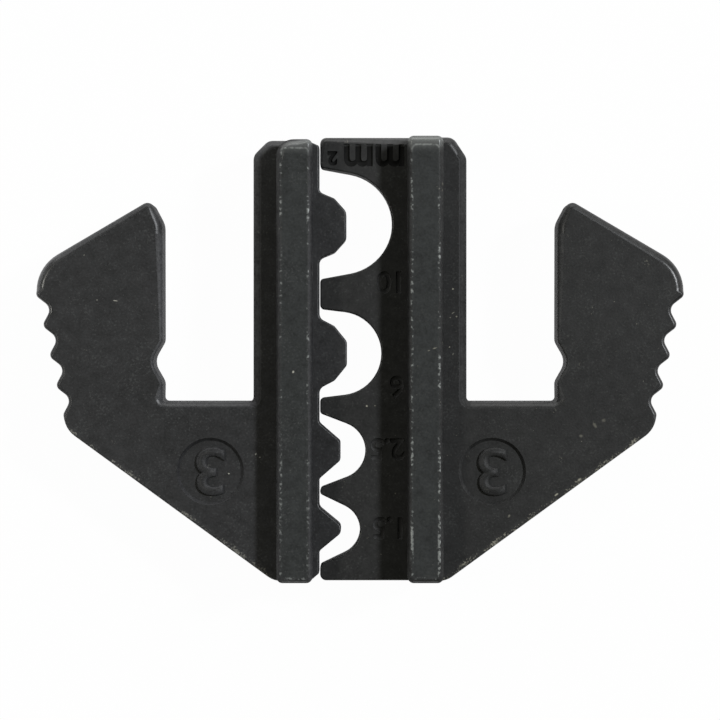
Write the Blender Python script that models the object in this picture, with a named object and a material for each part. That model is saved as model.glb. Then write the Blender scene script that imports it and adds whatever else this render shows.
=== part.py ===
"""A pair of interchangeable crimp dies for bare cable lugs, closed on each other and lying flat.

The right die carries four nests, the left die the four indenters that press into them. Each die is one piece of
sintered steel: a thin crimp blade at the parting line, a rail with a rib standing proud on both faces, and a
tongue with a U slot, a detent notch and a hooked finger arm with grip serrations.

Lengths are metres. X runs across the pair, Y along the rails, Z up out of the face that carries the marks.
The origin lies under the middle of the pair, level with the backs of the ribs. The outlines are drawn with u,
the distance from the middle plane outwards, which is +X on the nest die and -X on the indenter die.
"""

import math
from collections import namedtuple

import bmesh
import bpy
from mathutils import Vector

MM = 0.001

# Thickness
RIB_SPAN = 12.0 * MM
TONGUE_THICKNESS = 6.0 * MM
BLADE_THICKNESS = 4.2 * MM

# Rail, places from the middle plane outwards
PARTING_SHIFT = 3.0 * MM
CLOSING_GAP = 0.08 * MM
RIB_INNER = 3.5 * MM
RIB_WIDTH = 2.65 * MM
RIB_TO_SLOT = 1.75 * MM
RIB_DROP = 0.03 * MM
SEAM_OVERLAP = 0.4 * MM
INDENTER_SET_BACK = 0.25 * MM

# U slot, heights from its floor
SLOT_DEPTH = 19.57 * MM
SLOT_WIDTH = 6.73 * MM
SLOT_CORNER = 0.3 * MM
DETENT_HEIGHT = 2.94 * MM
DETENT_LENGTH = 3.0 * MM
DETENT_DEPTH = 0.85 * MM
DETENT_ROUND = 1.2 * MM
DETENT_SHOULDER = 0.8 * MM

# Finger arm, heights from the slot floor
LEAD_IN_HEIGHT = 13.2 * MM
LEAD_IN_ROUND = 1.5 * MM
PEAK_HEIGHT = 14.93 * MM
PEAK_SET_OFF = 0.92 * MM
PEAK_ROUND = 0.55 * MM
NOSE_OUT = 24.0 * MM
NOSE_HEIGHT = 9.97 * MM
NOSE_ROUND = 3.1 * MM

# Grip serrations
FIRST_GROOVE_HEIGHT = 6.87 * MM
FIRST_GROOVE_SET_BACK = 0.93 * MM
SERRATION_PITCH = 2.3 * MM
SERRATION_COUNT = 4
SERRATION_LEAN = math.radians(12.3)
SERRATION_FLANK = math.radians(40.0)
GROOVE_ROUND = 0.65 * MM
CREST_ROUND = 0.45 * MM
HEEL_LENGTH = 1.2 * MM
HEEL_ROUND = 2.0 * MM

# Lower edge of the tongue, where it runs into the rail's end
FOOT_CLEAR = 0.25 * MM
FOOT_ROUND = 1.6 * MM

# Round recess for a mark
RECESS_RADIUS = 2.5 * MM
RECESS_DEPTH = 0.35 * MM
RECESS_SLOPE = 0.22 * MM
RECESS_DROP = 5.2 * MM
NEST_RECESS_OUT = 9.8 * MM
INDENTER_RECESS_OUT = 11.1 * MM

# Ends of the rails
NEST_END_CHAMFER = (1.0 * MM, 1.5 * MM)
INDENTER_END_CHAMFER = (1.1 * MM, 1.1 * MM)
END_CHAMFER_ROUND = 0.8 * MM
NEST_RIB_CORNER = 0.45 * MM
INDENTER_RIB_CORNER = 1.25 * MM
RIB_CORNER = 0.45 * MM

# Edge rounding
TONGUE_EDGE = 0.6 * MM
GRIP_EDGE = 0.25 * MM
CRISP_EDGE = 0.12 * MM
RIB_CHAMFER = 0.28 * MM
RIB_TOP_CHAMFER = 0.6 * MM
RIB_FOOT_CHAMFER = 0.3 * MM
RIB_END_REACH = 0.6 * MM
EDGE_SHARE_OF_CORNER = 0.85
FILLETS_SHARE_OF_EDGE = 0.98
STRAIGHT_WITHIN = math.radians(1.0)
TONGUE_STEPS = 5
BLADE_STEPS = 2
CHAMFER_STEPS = 1
CHORD_ERROR = 0.006 * MM
WIDEST_ARC_STEP = math.radians(15.0)
SMOOTH_ANGLE = math.radians(32.0)

# Crimp profile, from the pivot end of the jaws to the open end
TOP_LAND = 2.21 * MM
BOTTOM_LAND = 1.10 * MM
LAND_CORNER = 0.45 * MM
TIP_ROUND = 0.3 * MM
BLADE_TOP_CHAMFER = (0.8 * MM, 0.35 * MM)
BLADE_FOOT_CHAMFER = (0.6 * MM, 0.52 * MM)
CHAMFER_ROUND = 0.15 * MM

Station = namedtuple(
    "Station",
    "nest_radius nest_centre nest_flare land_below"
    " indenter_drop reach nose_width flank shoulder_drop shank nose_round shoulder_round root_round",
)

STATION_10 = Station(
    nest_radius=3.80 * MM,
    nest_centre=1.55 * MM,
    nest_flare=math.radians(10.5),
    land_below=2.19 * MM,
    indenter_drop=0.15 * MM,
    reach=2.02 * MM,
    nose_width=2.05 * MM,
    flank=math.radians(48.0),
    shoulder_drop=0.88 * MM,
    shank=math.radians(22.5),
    nose_round=0.6 * MM,
    shoulder_round=0.5 * MM,
    root_round=0.5 * MM,
)
STATION_6 = Station(
    nest_radius=3.12 * MM,
    nest_centre=1.435 * MM,
    nest_flare=math.radians(7.0),
    land_below=1.14 * MM,
    indenter_drop=0.0,
    reach=2.06 * MM,
    nose_width=1.80 * MM,
    flank=math.radians(51.0),
    shoulder_drop=0.92 * MM,
    shank=math.radians(27.5),
    nose_round=0.45 * MM,
    shoulder_round=0.5 * MM,
    root_round=0.6 * MM,
)
STATION_2_5 = Station(
    nest_radius=2.16 * MM,
    nest_centre=1.20 * MM,
    nest_flare=math.radians(21.0),
    land_below=0.43 * MM,
    indenter_drop=0.0,
    reach=1.58 * MM,
    nose_width=1.44 * MM,
    flank=math.radians(41.0),
    shoulder_drop=0.80 * MM,
    shank=math.radians(41.0),
    nose_round=0.35 * MM,
    shoulder_round=0.0,
    root_round=0.4 * MM,
)
STATION_1_5 = Station(
    nest_radius=1.97 * MM,
    nest_centre=0.985 * MM,
    nest_flare=math.radians(25.7),
    land_below=BOTTOM_LAND,
    indenter_drop=-0.04 * MM,
    reach=1.62 * MM,
    nose_width=0.60 * MM,
    flank=math.radians(39.5),
    shoulder_drop=0.80 * MM,
    shank=math.radians(39.5),
    nose_round=0.5 * MM,
    shoulder_round=0.0,
    root_round=0.5 * MM,
)
STATIONS = (STATION_10, STATION_6, STATION_2_5, STATION_1_5)

# Finish
NEST_STEEL = (0.034, 0.035, 0.034, 1.0)
INDENTER_STEEL = (0.036, 0.036, 0.035, 1.0)
STEEL_ROUGHNESS = 0.55
STEEL_METALLIC = 0.6

Corner = namedtuple("Corner", "u y fillet edge")
Point = namedtuple("Point", "u y edge")


def nest_half_mouth(station):
    """Half the width of a nest where its flared walls meet the land."""
    run = station.nest_centre + station.nest_radius * math.sin(station.nest_flare)
    return station.nest_radius * math.cos(station.nest_flare) + run * math.tan(station.nest_flare)


RAIL_LENGTH = TOP_LAND + sum(2 * nest_half_mouth(station) + station.land_below for station in STATIONS)

# Derived places
RAIL_TOP = RAIL_LENGTH / 2
RAIL_FOOT = -RAIL_LENGTH / 2
INDENTER_TOP = RAIL_TOP - INDENTER_SET_BACK
RIB_OUTER = RIB_INNER + RIB_WIDTH
RAIL_OUTER = RIB_OUTER + RIB_TO_SLOT
ARM_INNER = RAIL_OUTER + SLOT_WIDTH
SLOT_FLOOR = RAIL_TOP - SLOT_DEPTH
MID_LEVEL = RIB_SPAN / 2
RIB_MIDDLE = RIB_INNER + RIB_WIDTH / 2
CARRIER_START = RIB_MIDDLE - SEAM_OVERLAP
NEST_FACE = -PARTING_SHIFT + CLOSING_GAP / 2
INDENTER_FACE = PARTING_SHIFT + CLOSING_GAP / 2


def station_centres():
    """Heights of the four crimp centres, shared by the nests and the indenters."""
    centres = []
    height = RAIL_TOP - TOP_LAND
    for station in STATIONS:
        half = nest_half_mouth(station)
        centres.append(height - half)
        height -= 2 * half + station.land_below
    return centres


def fillet_lengths(corners):
    """Tangent length of each corner's fillet, cut down where two fillets would meet on a short edge."""
    count = len(corners)
    places = [Vector((corner.u, corner.y)) for corner in corners]
    lengths = []
    for index, corner in enumerate(corners):
        before = (places[index] - places[index - 1]).normalized()
        after = (places[(index + 1) % count] - places[index]).normalized()
        turn = before.angle_signed(after, 0.0)
        lengths.append(corner.fillet * math.tan(abs(turn) / 2))
    for index in range(count):
        following = (index + 1) % count
        edge = (places[following] - places[index]).length
        wanted = lengths[index] + lengths[following]
        if wanted > edge:
            lengths[index] *= FILLETS_SHARE_OF_EDGE * edge / wanted
            lengths[following] *= FILLETS_SHARE_OF_EDGE * edge / wanted
    return lengths


def rounded_outline(corners):
    """Points round a closed outline, with each corner turned by an arc of its fillet radius.

    An outward corner's edge rounding stays smaller than the corner's own radius.
    """
    count = len(corners)
    lengths = fillet_lengths(corners)
    outward = math.copysign(1.0, signed_area(corners))
    points = []
    for index, corner in enumerate(corners):
        place = Vector((corner.u, corner.y))
        behind = corners[index - 1]
        ahead = corners[(index + 1) % count]
        before = (place - Vector((behind.u, behind.y))).normalized()
        after = (Vector((ahead.u, ahead.y)) - place).normalized()
        turn = math.atan2(before.cross(after), before.dot(after))
        reach = lengths[index]
        if reach < CHORD_ERROR or abs(turn) < STRAIGHT_WITHIN:
            points.append(Point(corner.u, corner.y, corner.edge))
            continue
        radius = reach / math.tan(abs(turn) / 2)
        steps = arc_steps(radius, abs(turn))
        edge = min(corner.edge, EDGE_SHARE_OF_CORNER * radius) if turn * outward > 0 else corner.edge
        start = place - before * reach
        side = math.copysign(1.0, turn)
        centre = start + Vector((-before.y, before.x)) * radius * side
        spoke = start - centre
        for step in range(steps + 1):
            angle = turn * step / steps
            cosine, sine = math.cos(angle), math.sin(angle)
            point = centre + Vector((spoke.x * cosine - spoke.y * sine, spoke.x * sine + spoke.y * cosine))
            points.append(Point(point.x, point.y, edge))
    return points


def arc_steps(radius, turn):
    """Number of straight steps that keeps an arc within the chord error."""
    widest = 2 * math.acos(max(0.0, 1 - CHORD_ERROR / radius)) if radius > CHORD_ERROR else WIDEST_ARC_STEP
    return max(2, math.ceil(turn / min(widest, WIDEST_ARC_STEP)))


def nest_wall(station, centre_y):
    """Corners along one nest from its upper lip to its lower lip: flare, round bottom, flare."""
    half = nest_half_mouth(station)
    centre_u = NEST_FACE + station.nest_centre
    sweep = math.pi - 2 * station.nest_flare
    steps = arc_steps(station.nest_radius, sweep)
    wall = [Corner(NEST_FACE, centre_y + half, TIP_ROUND, CRISP_EDGE)]
    for step in range(steps + 1):
        angle = math.pi / 2 - station.nest_flare - sweep * step / steps
        u = centre_u + station.nest_radius * math.cos(angle)
        y = centre_y + station.nest_radius * math.sin(angle)
        wall.append(Corner(u, y, 0.0, CRISP_EDGE))
    wall.append(Corner(NEST_FACE, centre_y - half, TIP_ROUND, CRISP_EDGE))
    return wall


def indenter_wall(station, centre_y):
    """Corners along one indenter from its upper root over the nose to its lower root."""
    nose_half = station.nose_width / 2
    shoulder_half = nose_half + station.shoulder_drop * math.tan(station.flank)
    shank_length = station.reach - station.shoulder_drop
    root_half = shoulder_half + shank_length * math.tan(station.shank)
    tip = INDENTER_FACE - station.reach
    shoulder = tip + station.shoulder_drop
    upper = [
        Corner(INDENTER_FACE, centre_y + root_half, station.root_round, CRISP_EDGE),
        Corner(shoulder, centre_y + shoulder_half, station.shoulder_round, CRISP_EDGE),
        Corner(tip, centre_y + nose_half, station.nose_round, CRISP_EDGE),
    ]
    lower = [corner._replace(y=2 * centre_y - corner.y) for corner in reversed(upper)]
    return upper + lower


def nest_blade_corners():
    """Outline of the nest die's crimp blade, down the nests and back up inside the rib."""
    corners = [
        Corner(RIB_MIDDLE, RAIL_TOP, 0.0, TONGUE_EDGE),
        Corner(NEST_FACE, RAIL_TOP, LAND_CORNER, TONGUE_EDGE),
    ]
    for station, centre_y in zip(STATIONS, station_centres()):
        corners += nest_wall(station, centre_y)
    corners.append(Corner(NEST_FACE, RAIL_FOOT, LAND_CORNER, CRISP_EDGE))
    corners.append(Corner(RIB_MIDDLE, RAIL_FOOT, 0.0, CRISP_EDGE))
    return corners


def indenter_blade_corners():
    """Outline of the indenter die's crimp blade, down the indenters and back up inside the rib."""
    top_in, top_down = BLADE_TOP_CHAMFER
    foot_in, foot_up = BLADE_FOOT_CHAMFER
    corners = [
        Corner(RIB_MIDDLE, INDENTER_TOP, 0.0, CRISP_EDGE),
        Corner(INDENTER_FACE + top_in, INDENTER_TOP, CHAMFER_ROUND, CRISP_EDGE),
        Corner(INDENTER_FACE, INDENTER_TOP - top_down, CHAMFER_ROUND, CRISP_EDGE),
    ]
    for station, centre_y in zip(STATIONS, station_centres()):
        corners += indenter_wall(station, centre_y - station.indenter_drop)
    corners.append(Corner(INDENTER_FACE, RAIL_FOOT + foot_up, CHAMFER_ROUND, CRISP_EDGE))
    corners.append(Corner(INDENTER_FACE + foot_in, RAIL_FOOT, CHAMFER_ROUND, CRISP_EDGE))
    corners.append(Corner(RIB_MIDDLE, RAIL_FOOT, 0.0, CRISP_EDGE))
    return corners


def slot_corners(rail_top, chamfer):
    """Corners from the rail's end, down the slot, past the detent notch and up to the arm's lead-in."""
    chamfer_in, chamfer_down = chamfer
    detent = SLOT_FLOOR + DETENT_HEIGHT
    return [
        Corner(RAIL_OUTER - chamfer_in, rail_top, END_CHAMFER_ROUND, TONGUE_EDGE),
        Corner(RAIL_OUTER, rail_top - chamfer_down, END_CHAMFER_ROUND, TONGUE_EDGE),
        Corner(RAIL_OUTER, SLOT_FLOOR, SLOT_CORNER, TONGUE_EDGE),
        Corner(ARM_INNER, SLOT_FLOOR, SLOT_CORNER, TONGUE_EDGE),
        Corner(ARM_INNER, detent - DETENT_LENGTH / 2, DETENT_SHOULDER, GRIP_EDGE),
        Corner(ARM_INNER + DETENT_DEPTH, detent, DETENT_ROUND, GRIP_EDGE),
        Corner(ARM_INNER, detent + DETENT_LENGTH / 2, DETENT_SHOULDER, GRIP_EDGE),
        Corner(ARM_INNER, SLOT_FLOOR + LEAD_IN_HEIGHT, LEAD_IN_ROUND, TONGUE_EDGE),
        Corner(ARM_INNER + PEAK_SET_OFF, SLOT_FLOOR + PEAK_HEIGHT, PEAK_ROUND, TONGUE_EDGE),
    ]


def grip_corners():
    """Corners from the nose of the arm down the serrations to the heel.

    The grooves repeat along a line that leans inwards as it goes down. Each groove and crest is a sharp V with a
    fillet, so the V's points lie beyond the rounded groove floors and crest tops.
    """
    down = Vector((-math.sin(SERRATION_LEAN), -math.cos(SERRATION_LEAN)))
    out = Vector((math.cos(SERRATION_LEAN), -math.sin(SERRATION_LEAN)))
    excess = 1 / math.cos(SERRATION_FLANK) - 1
    depth = SERRATION_PITCH / 2 * math.tan(SERRATION_FLANK)
    groove_floor = Vector((NOSE_OUT - FIRST_GROOVE_SET_BACK, SLOT_FLOOR + FIRST_GROOVE_HEIGHT))
    groove = groove_floor - out * GROOVE_ROUND * excess
    flank = -down * (SERRATION_PITCH / 2) + out * depth
    rise = (NOSE_OUT - groove.x) / flank.x
    corners = [
        Corner(NOSE_OUT, SLOT_FLOOR + NOSE_HEIGHT, NOSE_ROUND, TONGUE_EDGE),
        Corner(NOSE_OUT, groove.y + flank.y * rise, CREST_ROUND, GRIP_EDGE),
    ]
    crest = groove + down * (SERRATION_PITCH / 2) + out * depth
    for _ in range(SERRATION_COUNT):
        corners.append(Corner(groove.x, groove.y, GROOVE_ROUND, GRIP_EDGE))
        corners.append(Corner(crest.x, crest.y, CREST_ROUND, GRIP_EDGE))
        groove += down * SERRATION_PITCH
        crest += down * SERRATION_PITCH
    # the last crest runs on down the grip line, not into another groove
    last_groove = groove - down * SERRATION_PITCH
    crest_top = depth - CREST_ROUND * excess
    edge_start = last_groove + (down * (SERRATION_PITCH / 2 / depth) + out) * crest_top
    corners[-1] = Corner(edge_start.x, edge_start.y, CREST_ROUND, GRIP_EDGE)
    heel = edge_start + down * HEEL_LENGTH
    corners.append(Corner(heel.x, heel.y, HEEL_ROUND, CRISP_EDGE))
    return corners


def carrier_corners(rail_top, chamfer):
    """Outline of a die's tongue and rail: slot, finger arm, grip and lower edge."""
    return [
        Corner(CARRIER_START, RAIL_FOOT, 0.0, CRISP_EDGE),
        Corner(CARRIER_START, rail_top, 0.0, TONGUE_EDGE),
        *slot_corners(rail_top, chamfer),
        *grip_corners(),
        Corner(RIB_OUTER + FOOT_CLEAR, RAIL_FOOT, FOOT_ROUND, CRISP_EDGE),
    ]


def rib_corners(rail_top, outer_corner, inner_corner):
    """Outline of a rib seen from the front, which sits a little lower than the rail it stands on."""
    top = rail_top - RIB_DROP
    foot = RAIL_FOOT - RIB_DROP
    reach = outer_corner + RIB_END_REACH
    return [
        Corner(RIB_INNER, foot, RIB_CORNER, RIB_FOOT_CHAMFER),
        Corner(RIB_INNER, foot + reach, 0.0, RIB_CHAMFER),
        Corner(RIB_INNER, top - reach, 0.0, RIB_CHAMFER),
        Corner(RIB_INNER, top, inner_corner, RIB_TOP_CHAMFER),
        Corner(RIB_OUTER, top, outer_corner, RIB_TOP_CHAMFER),
        Corner(RIB_OUTER, top - reach, 0.0, RIB_CHAMFER),
        Corner(RIB_OUTER, foot + reach, 0.0, RIB_CHAMFER),
        Corner(RIB_OUTER, foot, RIB_CORNER, RIB_FOOT_CHAMFER),
    ]


def inward_offsets(points):
    """For each outline point, the vector that moves it inwards by one unit, mitred at corners."""
    count = len(points)
    offsets = []
    for index, point in enumerate(points):
        behind = points[index - 1]
        ahead = points[(index + 1) % count]
        before = Vector((point.u - behind.u, point.y - behind.y)).normalized()
        after = Vector((ahead.u - point.u, ahead.y - point.y)).normalized()
        first = Vector((-before.y, before.x))
        second = Vector((-after.y, after.x))
        offsets.append((first + second) / (1 + first.dot(second)))
    return offsets


def signed_area(points):
    """Area inside an outline, positive when it runs anticlockwise."""
    total = 0.0
    for index, point in enumerate(points):
        behind = points[index - 1]
        total += behind.u * point.y - point.u * behind.y
    return total / 2


def slab(name, corners, thickness, steps, side):
    """A flat plate of the given outline, centred on the mid level, with its edges rounded in steps.

    side is 1 for the nest die and -1 for the indenter die, and turns u into X.
    """
    points = [Point(point.u * side, point.y, point.edge) for point in rounded_outline(corners)]
    if signed_area(points) < 0:
        points.reverse()
    offsets = inward_offsets(points)
    levels = []
    for step in range(steps + 1):
        angle = math.pi / 2 * step / steps
        levels.append((1 - math.sin(angle), 1 - math.cos(angle)))
    rings = [(-thickness / 2, 1.0, inset, rise) for rise, inset in reversed(levels)]
    rings += [(thickness / 2, -1.0, inset, rise) for rise, inset in levels]
    bm = bmesh.new()
    loops = []
    for level, inwards, inset, rise in rings:
        loop = []
        for point, offset in zip(points, offsets):
            x = point.u + offset.x * point.edge * inset
            y = point.y + offset.y * point.edge * inset
            z = MID_LEVEL + level + inwards * point.edge * rise
            loop.append(bm.verts.new((x, y, z)))
        loops.append(loop)
    for lower, upper in zip(loops, loops[1:]):
        for index in range(len(points)):
            following = (index + 1) % len(points)
            bm.faces.new((lower[index], lower[following], upper[following], upper[index]))
    bm.faces.new(list(reversed(loops[0])))
    bm.faces.new(loops[-1])
    return finish_object(name, bm)


def finish_object(name, bm):
    """Turns a bmesh into a linked object with smooth rounds and sharp edges."""
    mesh = bpy.data.meshes.new(name)
    bm.to_mesh(mesh)
    bm.free()
    mesh.shade_smooth()
    mesh.set_sharp_from_angle(angle=SMOOTH_ANGLE)
    thing = bpy.data.objects.new(name, mesh)
    bpy.context.scene.collection.objects.link(thing)
    return thing


def recess_disc(name, out, side):
    """The round cutter for the shallow recess in the tongue's front face, whose wall slopes outwards.

    It reaches as far above the face as it goes below, so its radius at the face is the recess's own.
    """
    front = MID_LEVEL + TONGUE_THICKNESS / 2
    bm = bmesh.new()
    bmesh.ops.create_cone(
        bm,
        cap_ends=True,
        segments=arc_steps(RECESS_RADIUS, 2 * math.pi),
        radius1=RECESS_RADIUS - RECESS_SLOPE,
        radius2=RECESS_RADIUS + RECESS_SLOPE,
        depth=2 * RECESS_DEPTH,
    )
    bmesh.ops.translate(bm, verts=bm.verts, vec=(side * out, SLOT_FLOOR - RECESS_DROP, front))
    return finish_object(name, bm)


def steel(name, colour):
    """A dark phosphated steel, slightly rough."""
    material = bpy.data.materials.new(name)
    material.use_nodes = True
    shader = material.node_tree.nodes["Principled BSDF"]
    shader.inputs["Base Color"].default_value = colour
    shader.inputs["Roughness"].default_value = STEEL_ROUGHNESS
    shader.inputs["Metallic"].default_value = STEEL_METALLIC
    return material


def combine(body, other, operation):
    """Joins a guide solid to a body, or cuts it away, and hides the guide."""
    modifier = body.modifiers.new(other.name, "BOOLEAN")
    modifier.object = other
    modifier.operation = operation
    modifier.solver = "EXACT"
    other.hide_render = True
    other.display_type = "WIRE"
    other.parent = body


def make_die(name, side, rail_top, blade, chamfer, rib_outer_corner, rib_inner_corner, recess_out, colour):
    """One die: tongue and rail, crimp blade, rib and recess, fused as the real piece is."""
    carrier = carrier_corners(rail_top, chamfer)
    rib = rib_corners(rail_top, rib_outer_corner, rib_inner_corner)
    body = slab(name, carrier, TONGUE_THICKNESS, TONGUE_STEPS, side)
    combine(body, slab(name + "_blade_guide", blade, BLADE_THICKNESS, BLADE_STEPS, side), "UNION")
    combine(body, slab(name + "_rib_guide", rib, RIB_SPAN, CHAMFER_STEPS, side), "UNION")
    combine(body, recess_disc(name + "_recess_cutter", recess_out, side), "DIFFERENCE")
    body.data.materials.append(steel(name + "_steel", colour))
    return body


def clear_scene():
    """Removes whatever the scene holds."""
    for thing in list(bpy.data.objects):
        bpy.data.objects.remove(thing, do_unlink=True)


def main():
    clear_scene()
    make_die(
        "nest_die",
        1.0,
        RAIL_TOP,
        nest_blade_corners(),
        NEST_END_CHAMFER,
        NEST_RIB_CORNER,
        NEST_RIB_CORNER,
        NEST_RECESS_OUT,
        NEST_STEEL,
    )
    make_die(
        "indenter_die",
        -1.0,
        INDENTER_TOP,
        indenter_blade_corners(),
        INDENTER_END_CHAMFER,
        INDENTER_RIB_CORNER,
        RIB_CORNER,
        INDENTER_RECESS_OUT,
        INDENTER_STEEL,
    )


main()
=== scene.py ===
"""Dresses a closed pair of crimp dies in phosphated steel and sets it on a pale studio floor.

Lengths are metres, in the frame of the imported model: X runs across the pair, Y along the rails and Z out of
the marked face, with the backs of the ribs on the floor at Z = 0. The nest die lies at +X, the indenter die
at -X.
"""

import logging
import math
from dataclasses import dataclass
from enum import Enum

import bpy
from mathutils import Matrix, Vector


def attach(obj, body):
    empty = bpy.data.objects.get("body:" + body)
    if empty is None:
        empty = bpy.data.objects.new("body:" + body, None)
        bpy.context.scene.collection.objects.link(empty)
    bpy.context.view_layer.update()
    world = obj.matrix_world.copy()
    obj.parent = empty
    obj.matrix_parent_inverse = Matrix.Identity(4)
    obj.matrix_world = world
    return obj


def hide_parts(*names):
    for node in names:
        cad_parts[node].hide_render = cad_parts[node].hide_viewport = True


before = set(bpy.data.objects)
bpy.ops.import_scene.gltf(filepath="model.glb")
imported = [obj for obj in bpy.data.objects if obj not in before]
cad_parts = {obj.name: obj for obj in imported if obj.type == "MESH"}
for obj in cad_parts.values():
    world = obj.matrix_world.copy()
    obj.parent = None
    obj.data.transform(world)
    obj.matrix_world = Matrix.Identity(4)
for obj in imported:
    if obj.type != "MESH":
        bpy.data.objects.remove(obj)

log = logging.getLogger("crimp_dies")

MM = 0.001

# Steps in each curve of a figure's outline, and in the slope of its walls.
CURVE_STEPS = 5
SLOPE_STEPS = 1
# Points of a figure that are closer than this, in the type's own units, are one.
FIGURE_WELD = 0.0001
# A raised figure grows out of the metal a little below its recess floor.
FIGURE_ROOT = 0.06 * MM
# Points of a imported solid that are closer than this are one, and so are faces that turn less than this.
SOLID_WELD = 0.0005 * MM
SOLID_FLAT = math.radians(0.2)

# The kinds of node that are used most. The inputs of a range are its value, from min, from max, to min and
# to max.
MATH = "ShaderNodeMath"
VECTOR = "ShaderNodeVectorMath"
RANGE = "ShaderNodeMapRange"
NOISE = "ShaderNodeTexNoise"
MIX = "ShaderNodeMix"
SPLIT = "ShaderNodeSeparateXYZ"
COORDINATES = "ShaderNodeTexCoord"

Pair = tuple[float, float]
Tree = bpy.types.NodeTree
Socket = bpy.types.NodeSocket


def linear(colour: str) -> tuple[float, float, float, float]:
    """Turns an sRGB hex colour into linear light.

    Args:
        colour: Six hex digits after a hash sign.

    Returns:
        Red, green, blue and an alpha of one.
    """
    parts = []
    for start in (1, 3, 5):
        value = int(colour[start:start + 2], 16) / 255
        parts.append(value / 12.92 if value <= 0.04045 else ((value + 0.055) / 1.055) ** 2.4)
    return (*parts, 1.0)


def add_node(
    tree: Tree, kind: str, settings: dict | str, inputs: dict, output: int | str = 0
) -> Socket | bpy.types.Node:
    """Adds one shader node with its settings and links.

    Args:
        tree: The node tree that takes the node.
        kind: The node's type.
        settings: Values for the node's own properties, or the name of its operation alone.
        inputs: For each input, by name or number, a socket to link from or a value to set.
        output: Which of the node's outputs is wanted.

    Returns:
        The wanted output socket, or the node itself where it has none.
    """
    node = tree.nodes.new(kind)
    if isinstance(settings, str):
        settings = {"operation": settings}
    for name, value in settings.items():
        setattr(node, name, value)
    for name, value in inputs.items():
        if isinstance(value, Socket):
            tree.links.new(value, node.inputs[name])
        else:
            node.inputs[name].default_value = value
    return node.outputs[output] if len(node.outputs) else node


def select_only(thing: bpy.types.Object) -> None:
    """Leaves one object selected and active.

    Args:
        thing: That object.
    """
    bpy.ops.object.select_all(action="DESELECT")
    thing.select_set(True)
    bpy.context.view_layer.objects.active = thing


def apply_boolean(body: bpy.types.Object, tool: bpy.types.Object, operation: str) -> None:
    """Cuts or joins a tool object into a body, then removes the tool.

    Args:
        body: The piece that is changed.
        tool: The closed shape that cuts it or is joined to it.
        operation: DIFFERENCE or UNION.
    """
    select_only(body)
    modifier = body.modifiers.new(tool.name, "BOOLEAN")
    modifier.object = tool
    modifier.operation = operation
    modifier.solver = "EXACT"
    modifier.use_self = True
    bpy.ops.object.modifier_apply(modifier=modifier.name)
    bpy.data.objects.remove(tool, do_unlink=True)


class Relief(Enum):
    """How a figure stands on the steel."""

    STRUCK = "DIFFERENCE"
    RAISED = "UNION"


@dataclass(frozen=True)
class Figure:
    """A figure of the die's size marking, which reads from the open end of the jaws.

    Attributes:
        text: What it reads.
        middle: Its middle in X and Y.
        height: Height of the figure, or of its small letters.
        face: Level of the face that it is struck into, or that it stands up to.
        depth: How deep it is struck, or how high it stands.
        relief: Struck into the face, or raised in a recess.
        slope: Width of the sloped walls round each stroke.
        weight: How much each stroke is thickened to either side.
        width: Share of the type's own width.
    """

    text: str
    middle: Pair
    height: float
    face: float
    depth: float
    relief: Relief = Relief.STRUCK
    slope: float = 0.05 * MM
    weight: float = 0.085 * MM
    width: float = 1.0

    def build(self) -> bpy.types.Object:
        """Makes the closed solid of the figure, upside down as on the die.

        Returns:
            A mesh object that crosses the face it belongs to.
        """
        bpy.ops.object.select_all(action="DESELECT")
        bpy.ops.object.text_add()
        letters = bpy.context.object
        letters.name = "figure_" + self.text.replace(".", "_")
        letters.data.body = self.text
        letters.data.align_x = "CENTER"
        letters.data.align_y = "CENTER"
        letters.data.resolution_u = CURVE_STEPS
        bpy.context.view_layer.update()
        scale = self.height / letters.dimensions.y
        letters.data.offset = (self.weight - self.slope) / scale
        letters.data.bevel_depth = self.slope / scale
        letters.data.bevel_resolution = SLOPE_STEPS
        letters.data.extrude = self._reach() / scale
        bpy.ops.object.convert(target="MESH")
        self._place(letters, scale)
        return letters

    def _reach(self) -> float:
        """Half the height of the straight walls between the two sloped ends."""
        return self.depth if self.relief is Relief.STRUCK else (self.depth + FIGURE_ROOT) / 2

    def _place(self, letters: bpy.types.Object, scale: float) -> None:
        """Scales the letters to their height, turns them over and sets them at their face.

        Args:
            letters: The figure's mesh, about its own middle.
            scale: From the type's units to metres.
        """
        corners = [vertex.co for vertex in letters.data.vertices]
        low = Vector([min(corner[axis] for corner in corners) for axis in range(3)])
        high = Vector([max(corner[axis] for corner in corners) for axis in range(3)])
        half = (high.z - low.z) / 2 * scale
        level = self.face - self.depth + half if self.relief is Relief.STRUCK else self.face - half
        select_only(letters)
        bpy.ops.object.mode_set(mode="EDIT")
        bpy.ops.mesh.select_all(action="SELECT")
        bpy.ops.mesh.remove_doubles(threshold=FIGURE_WELD)
        bpy.ops.transform.translate(value=-(low + high) / 2)
        bpy.ops.transform.resize(value=(-scale * self.width, -scale, scale), center_override=(0, 0, 0))
        bpy.ops.transform.translate(value=(*self.middle, level))
        bpy.ops.mesh.normals_make_consistent(inside=False)
        bpy.ops.object.mode_set(mode="OBJECT")


@dataclass(frozen=True)
class Point:
    """The point that is shaded, as sockets of one material.

    Attributes:
        tree: The material's node tree.
        place: Its object coordinates.
        moved: The same, moved by the steel's seed.
        across: Its distance from the parting plane.
        along: Its Y.
        height: Its height.
        tilted: One wherever the surface leaves the flat.
        edge: One on the steeper parts of the rounded edges.
        wall: One on the upright walls.
        flat: One everywhere else.
    """

    tree: Tree
    place: Socket
    moved: Socket
    across: Socket
    along: Socket
    height: Socket
    tilted: Socket
    edge: Socket
    wall: Socket
    flat: Socket


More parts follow.
